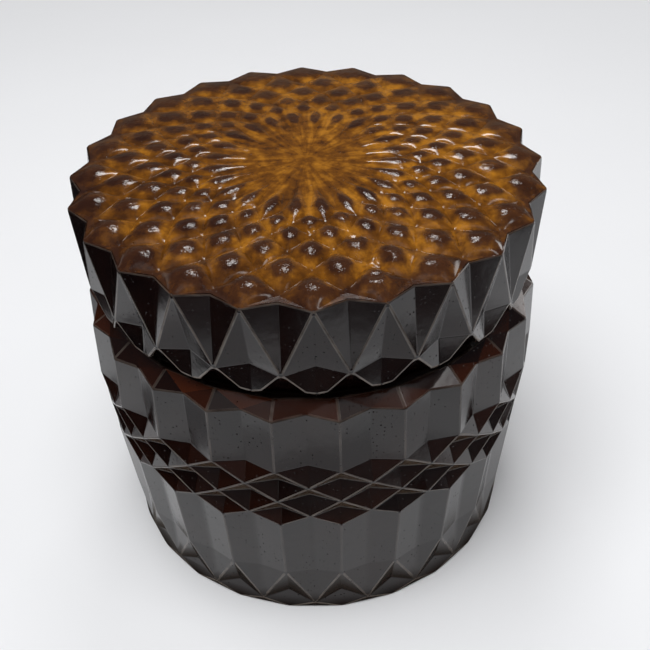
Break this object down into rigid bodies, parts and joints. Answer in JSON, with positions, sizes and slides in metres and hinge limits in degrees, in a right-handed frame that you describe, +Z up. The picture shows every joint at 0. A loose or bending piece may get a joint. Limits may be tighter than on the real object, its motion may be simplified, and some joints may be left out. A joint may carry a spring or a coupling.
{
  "type": "lidded storage jar",
  "caption": "Round cast-resin storage jar cut in crystal facets, with a thick lift-off lid that has a sunburst of small domes on top; it keeps small trinkets.",
  "frame": {"origin": "middle of the jar's foot, on the surface that it stands on", "axes": "+Z up the jar's axis, along which the lid lifts; +X through a ridge of the jar's facets"},
  "size_m": [0.0946, 0.0946, 0.0853],
  "materials": {
    "jar_resin": "glossy cast epoxy resin, near-black amber brown",
    "lid_resin": "glossy cast epoxy resin, amber where it is thin and dark brown in the domes"
  },
  "bodies": {
    "jar": {"jar_body": "jar_resin"},
    "lid": {"lid": "lid_resin"}
  },
  "joints": [
    {"name": "lid_lift", "type": "slide", "parent": "jar", "child": "lid", "axis": [0, 0, 1], "range_m": [0, 0.1]}
  ]
}
